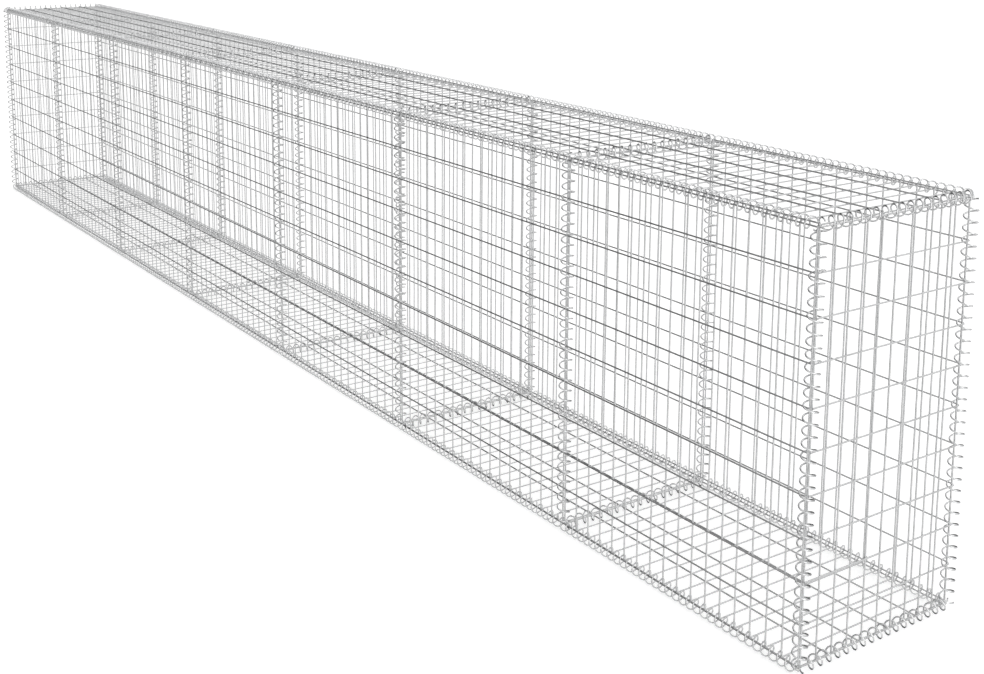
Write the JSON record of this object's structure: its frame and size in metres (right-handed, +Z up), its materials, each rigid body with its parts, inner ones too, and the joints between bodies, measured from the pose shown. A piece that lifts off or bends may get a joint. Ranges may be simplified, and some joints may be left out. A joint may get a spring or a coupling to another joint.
{
  "type": "gabion wall",
  "caption": "Empty gabion wall in equal bays: a long closed basket of galvanised welded mesh panels laced along every edge with wire spirals.",
  "frame": {"origin": "On the ground under the middle of the wall: the middle of the length and depth, at the level of the lowest spiral turns.", "axes": "+X runs along the wall, +Y from front to back, +Z up."},
  "size_m": [6.0544, 0.5474, 1.0454],
  "materials": {
    "mesh_wire": "galvanised",
    "spiral_wire": "galvanised"
  },
  "bodies": {
    "root": {"front_panel_1": "mesh_wire", "front_panel_2": "mesh_wire", "front_panel_3": "mesh_wire", "front_panel_4": "mesh_wire", "front_panel_5": "mesh_wire", "front_panel_6": "mesh_wire", "front_panel_7": "mesh_wire", "back_panel_1": "mesh_wire", "back_panel_2": "mesh_wire", "back_panel_3": "mesh_wire", "back_panel_4": "mesh_wire", "back_panel_5": "mesh_wire", "back_panel_6": "mesh_wire", "back_panel_7": "mesh_wire", "base_panel_1": "mesh_wire", "base_panel_2": "mesh_wire", "base_panel_3": "mesh_wire", "base_panel_4": "mesh_wire", "base_panel_5": "mesh_wire", "base_panel_6": "mesh_wire", "base_panel_7": "mesh_wire", "cover_panel_1": "mesh_wire", "cover_panel_2": "mesh_wire", "cover_panel_3": "mesh_wire", "cover_panel_4": "mesh_wire", "cover_panel_5": "mesh_wire", "cover_panel_6": "mesh_wire", "cover_panel_7": "mesh_wire", "left_end_panel": "mesh_wire", "right_end_panel": "mesh_wire", "front_bottom_spirals": "spiral_wire", "front_top_spirals": "spiral_wire", "back_bottom_spirals": "spiral_wire", "back_top_spirals": "spiral_wire", "seam_spirals_1": "spiral_wire", "seam_spirals_2": "spiral_wire", "seam_spirals_3": "spiral_wire", "seam_spirals_4": "spiral_wire", "seam_spirals_5": "spiral_wire", "seam_spirals_6": "spiral_wire", "seam_spirals_7": "spiral_wire", "seam_spirals_8": "spiral_wire"}
  },
  "joints": []
}
